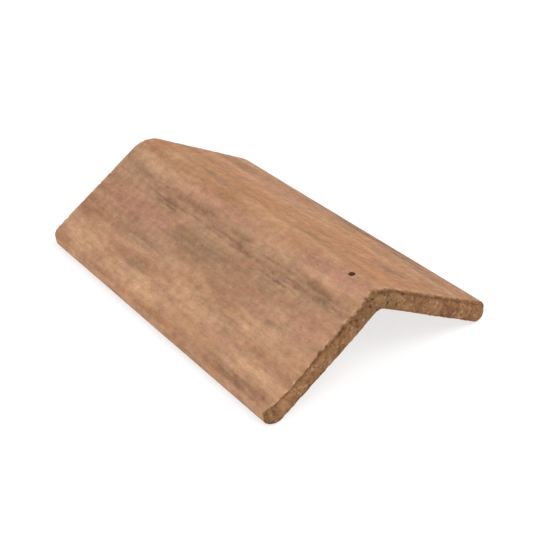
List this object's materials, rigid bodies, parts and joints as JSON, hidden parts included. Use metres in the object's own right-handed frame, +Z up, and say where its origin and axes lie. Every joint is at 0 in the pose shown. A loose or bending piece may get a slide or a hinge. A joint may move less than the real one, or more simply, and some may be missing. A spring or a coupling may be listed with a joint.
{
  "type": "ridge tile",
  "caption": "Angular fired-clay ridge tile: flat wings meeting in a rounded ridge, with rounded eaves and a nail hole through the crest near one end.",
  "frame": {"origin": "on the floor, under the middle of the tile: the bottom centre of its box", "axes": "+Y along the ridge, away from the end with the nail hole; +X across the ridge to the right wing; +Z up, through the crest"},
  "size_m": [0.2802, 0.45, 0.0947],
  "materials": {
    "fired_clay": "matte"
  },
  "bodies": {
    "root": {"ridge_tile": "fired_clay"}
  },
  "joints": []
}
